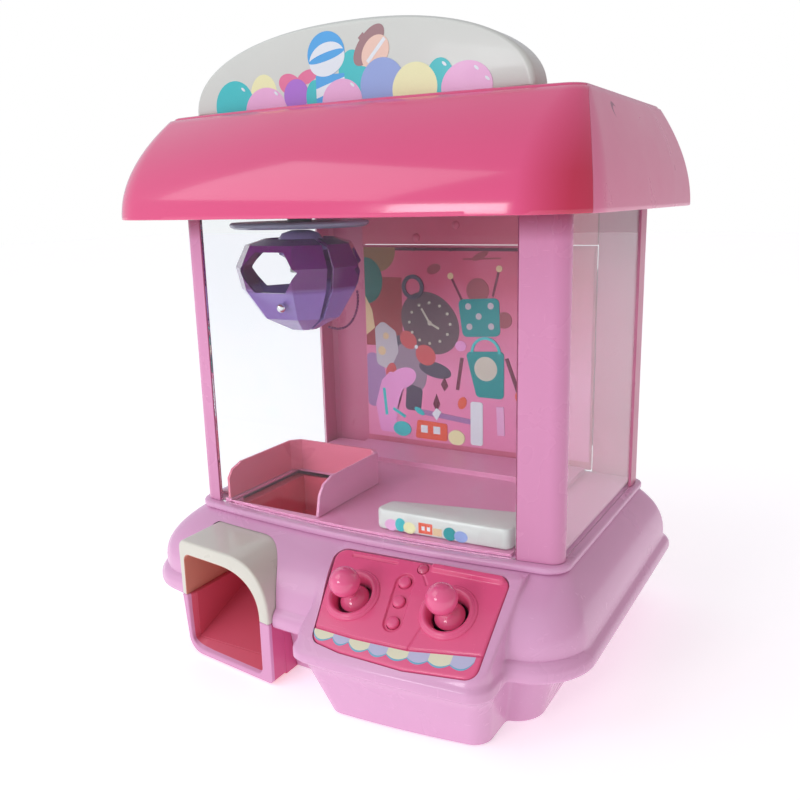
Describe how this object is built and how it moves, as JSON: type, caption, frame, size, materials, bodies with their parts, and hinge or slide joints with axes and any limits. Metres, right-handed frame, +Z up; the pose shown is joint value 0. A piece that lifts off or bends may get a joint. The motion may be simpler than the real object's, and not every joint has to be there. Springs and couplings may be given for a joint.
{
  "type": "claw crane machine",
  "caption": "Toy table-top claw crane: pink cabin with clear panes, two-axis crane with a three-jaw claw, twin joysticks and a hooded prize outlet.",
  "frame": {"origin": "middle of the footprint at table level", "axes": "+X to the right of a player who faces the machine, +Y to the back, +Z up"},
  "size_m": [0.3, 0.26, 0.375],
  "materials": {
    "base_pink": "glossy moulded plastic, pale pink",
    "roof_pink": "satin moulded plastic, pink",
    "hot_pink": "high-gloss moulded plastic, hot pink",
    "deep_pink": "moulded plastic, deep pink",
    "cream": "glossy moulded plastic, cream",
    "clear": "clear sheet",
    "jaw_purple": "clear tinted plastic, purple",
    "lilac": "moulded plastic, lilac",
    "grey": "moulded plastic, grey",
    "steel": "bright steel",
    "chrome": "polished",
    "card": "printed card",
    "black_rubber": "matt",
    "black": "matt",
    "green_board": "circuit board",
    "cord": "braided cord"
  },
  "bodies": {
    "cabin": {"back_header": "base_pink", "base_shell": "base_pink", "battery_box": "grey", "battery_door": "roof_pink", "battery_door_screw": "steel", "bottom_plate": "roof_pink", "chute_fence": "deep_pink", "chute_hood": "cream", "control_panel": "hot_pink", "door_hinge": "steel", "floor_tray": "deep_pink", "front_window": "clear", "left_window": "clear", "mechanism_cover": "cream", "pcb": "green_board", "post_front_left": "base_pink", "post_front_right": "base_pink", "post_rear_left": "base_pink", "post_rear_right": "base_pink", "prize_chute": "base_pink", "rail_front": "steel", "rail_rear": "steel", "right_window": "clear", "roof_hood": "hot_pink", "roof_shell": "roof_pink", "sign": "cream", "speaker": "black", "start_light": "hot_pink", "top_frame": "grey"},
    "rear_door": {"rear_door": "base_pink", "backdrop_card": "card"},
    "door_latch": {"door_latch": "hot_pink"},
    "power_switch": {"power_switch": "black"},
    "joystick_left_ring": {"joystick_left_gimbal": "grey"},
    "joystick_left": {"joystick_left_stick": "hot_pink"},
    "joystick_right_ring": {"joystick_right_gimbal": "grey"},
    "joystick_right": {"joystick_right_stick": "hot_pink"},
    "button_1": {"button_1": "hot_pink"},
    "button_2": {"button_2": "hot_pink"},
    "button_3": {"button_3": "hot_pink"},
    "bridge": {"bridge_block_front": "grey", "bridge_block_rear": "grey", "bridge_rod_left": "steel", "bridge_rod_right": "steel", "x_motor": "steel"},
    "x_wheel": {"x_wheel": "black_rubber"},
    "trolley": {"trolley": "grey", "hoist_motor": "steel", "y_motor": "steel", "trolley_disc": "grey", "hoist_cord": "cord"},
    "y_wheel": {"y_wheel": "black_rubber"},
    "winch_drum": {"winch_drum": "cream"},
    "claw_head": {"claw_head": "lilac"},
    "claw_slider": {"claw_slider": "cream"},
    "jaw_1": {"jaw_1": "jaw_purple", "jaw_ball": "chrome"},
    "jaw_2": {"jaw_2": "jaw_purple", "bead_chain": "jaw_purple"},
    "jaw_3": {"jaw_3": "jaw_purple"}
  },
  "joints": [
    {"name": "bridge_travel", "type": "slide", "parent": "cabin", "child": "bridge", "axis": [1, 0, 0], "range_m": [0, 0.138]},
    {"name": "x_wheel_spin", "type": "hinge", "parent": "bridge", "child": "x_wheel", "pos_m": [-0.069, 0.096, 0.295], "axis": [0, 1, 0], "range_deg": [0, 912]},
    {"name": "trolley_travel", "type": "slide", "parent": "bridge", "child": "trolley", "axis": [0, 1, 0], "range_m": [0, 0.06]},
    {"name": "y_wheel_spin", "type": "hinge", "parent": "trolley", "child": "y_wheel", "pos_m": [-0.077, -0.008, 0.303], "axis": [1, 0, 0], "range_deg": [-398, 0]},
    {"name": "hoist", "type": "slide", "parent": "trolley", "child": "claw_head", "axis": [0, 0, -1], "range_m": [0, 0.085], "deforming": ["hoist_cord"]},
    {"name": "winch_spin", "type": "hinge", "parent": "trolley", "child": "winch_drum", "pos_m": [-0.069, -0.0021, 0.279], "axis": [1, 0, 0], "range_deg": [0, 828]},
    {"name": "jaw_1_open", "type": "hinge", "parent": "claw_head", "child": "jaw_1", "pos_m": [-0.069, -0.0275, 0.253], "axis": [-1, 0, 0], "range_deg": [0, 22]},
    {"name": "jaw_2_open", "type": "hinge", "parent": "claw_head", "child": "jaw_2", "pos_m": [-0.05211, 0.00175, 0.253], "axis": [0.5, -0.866, 0], "range_deg": [0, 22.5]},
    {"name": "jaw_3_open", "type": "hinge", "parent": "claw_head", "child": "jaw_3", "pos_m": [-0.08589, 0.00175, 0.253], "axis": [0.5, 0.866, 0], "range_deg": [0, 22.5]},
    {"name": "slider_lift", "type": "slide", "parent": "claw_head", "child": "claw_slider", "axis": [0, 0, 1], "range_m": [0, 0.0038]},
    {"name": "joystick_left_sideways", "type": "hinge", "parent": "cabin", "child": "joystick_left_ring", "pos_m": [0.0192, -0.0916, 0.05612], "axis": [0, 0.8339, 0.5519], "range_deg": [-15, 15], "stiffness_Nm_per_rad": 0.05},
    {"name": "joystick_left_forward", "type": "hinge", "parent": "joystick_left_ring", "child": "joystick_left", "pos_m": [0.0192, -0.0916, 0.05612], "axis": [1, 0, 0], "range_deg": [-15, 15], "stiffness_Nm_per_rad": 0.05},
    {"name": "joystick_right_sideways", "type": "hinge", "parent": "cabin", "child": "joystick_right_ring", "pos_m": [0.078, -0.08885, 0.05794], "axis": [0, 0.8339, 0.5519], "range_deg": [-15, 15], "stiffness_Nm_per_rad": 0.05},
    {"name": "joystick_right_forward", "type": "hinge", "parent": "joystick_right_ring", "child": "joystick_right", "pos_m": [0.078, -0.08885, 0.05794], "axis": [1, 0, 0], "range_deg": [-15, 15], "stiffness_Nm_per_rad": 0.05},
    {"name": "button_1_press", "type": "slide", "parent": "cabin", "child": "button_1", "axis": [0, 0.5519, -0.8339], "range_m": [0, 0.0012], "stiffness_N_per_m": 250},
    {"name": "button_2_press", "type": "slide", "parent": "cabin", "child": "button_2", "axis": [0, 0.5519, -0.8339], "range_m": [0, 0.0012], "stiffness_N_per_m": 250},
    {"name": "button_3_press", "type": "slide", "parent": "cabin", "child": "button_3", "axis": [0, 0.5519, -0.8339], "range_m": [0, 0.0012], "stiffness_N_per_m": 250},
    {"name": "power_switch_slide", "type": "slide", "parent": "cabin", "child": "power_switch", "axis": [1, 0, 0], "range_m": [0, 0.004]},
    {"name": "rear_door_hinge", "type": "hinge", "parent": "cabin", "child": "rear_door", "pos_m": [0.091, 0.1124, 0.16], "axis": [0, 0, -1], "range_deg": [0, 100]},
    {"name": "door_latch_turn", "type": "hinge", "parent": "cabin", "child": "door_latch", "pos_m": [-0.098, 0.111, 0.166], "axis": [0, 1, 0], "range_deg": [0, 90]}
  ],
  "couplings": [
    {"joint": "x_wheel_spin", "follows": "bridge_travel", "rad_per_m": 114.94},
    {"joint": "y_wheel_spin", "follows": "trolley_travel", "rad_per_m": -114.94},
    {"joint": "winch_spin", "follows": "hoist", "rad_per_m": 169.49},
    {"joint": "jaw_2_open", "follows": "jaw_1_open", "ratio": 1},
    {"joint": "jaw_3_open", "follows": "jaw_1_open", "ratio": 1},
    {"joint": "slider_lift", "follows": "jaw_1_open", "m_per_rad": 0.0091}
  ]
}
